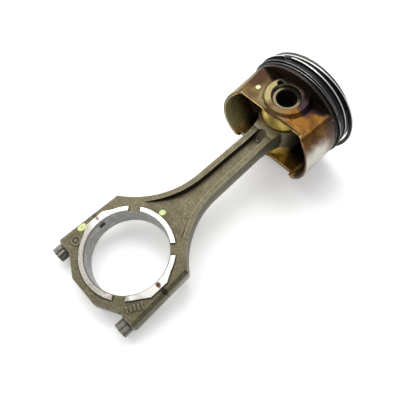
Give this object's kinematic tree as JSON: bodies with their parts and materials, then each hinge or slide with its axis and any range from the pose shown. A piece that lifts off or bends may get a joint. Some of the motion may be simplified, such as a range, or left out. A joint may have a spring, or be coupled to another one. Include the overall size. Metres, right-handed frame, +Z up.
{
  "type": "piston and connecting rod",
  "caption": "Piston with rings, wrist pin and forged connecting rod with bolted big-end cap, lying on its side.",
  "frame": {"origin": "centre of the crankpin bore, at the middle of the big end's width", "axes": "+Z up from the surface that the assembly lies on, +X along the surface from the crankpin towards the piston's crown, +Y sideways"},
  "size_m": [0.227, 0.0891, 0.0869],
  "materials": {
    "forged_steel": "khaki grey-brown oiled forging skin with bright machined faces",
    "bolt_steel": "phosphated bolt steel",
    "bronze": "rolled bronze bush",
    "pin_steel": "ground pin, oil-stained ends",
    "varnished_aluminium": "cast aluminium stained with baked oil, from amber to purple-black",
    "ring_steel": "dark ring faces with bright flanks",
    "spring_steel": "spring wire"
  },
  "bodies": {
    "rod": {"connecting_rod": "forged_steel", "rod_cap": "forged_steel", "rod_bolt_left": "bolt_steel", "rod_bolt_right": "bolt_steel", "small_end_bush": "bronze"},
    "piston": {"piston": "varnished_aluminium", "circlip_front": "spring_steel", "circlip_rear": "spring_steel"},
    "wrist_pin": {"wrist_pin": "pin_steel"},
    "top_ring": {"top_ring": "ring_steel"},
    "second_ring": {"second_ring": "ring_steel"},
    "oil_rail_lower": {"oil_rail_lower": "ring_steel"},
    "oil_rail_upper": {"oil_rail_upper": "ring_steel"},
    "oil_expander": {"oil_expander": "spring_steel"}
  },
  "joints": [
    {"name": "piston_swing", "type": "hinge", "parent": "rod", "child": "piston", "pos_m": [0.15287, 0, 0.02562], "axis": [-0.1653, 0, 0.9862], "range_deg": [-25, 22]},
    {"name": "wrist_pin_turn", "type": "hinge", "parent": "rod", "child": "wrist_pin", "pos_m": [0.15287, 0, 0.02562], "axis": [-0.1653, 0, 0.9862], "continuous": true},
    {"name": "top_ring_turn", "type": "hinge", "parent": "piston", "child": "top_ring", "pos_m": [0.17719, -0.00123, 0.02843], "axis": [0.9858, 0.0314, 0.1652], "continuous": true},
    {"name": "second_ring_turn", "type": "hinge", "parent": "piston", "child": "second_ring", "pos_m": [0.17276, 0.00114, 0.02957], "axis": [0.9858, 0.0314, 0.1652], "continuous": true},
    {"name": "oil_rail_lower_turn", "type": "hinge", "parent": "piston", "child": "oil_rail_lower", "pos_m": [0.16603, -0.00033, 0.02828], "axis": [0.9858, 0.0314, 0.1652], "continuous": true},
    {"name": "oil_rail_upper_turn", "type": "hinge", "parent": "piston", "child": "oil_rail_upper", "pos_m": [0.16844, 0.00135, 0.02869], "axis": [0.9858, 0.0314, 0.1652], "continuous": true},
    {"name": "oil_expander_turn", "type": "hinge", "parent": "piston", "child": "oil_expander", "pos_m": [0.16706, 0.00045, 0.028], "axis": [0.9858, 0.0314, 0.1652], "continuous": true}
  ]
}
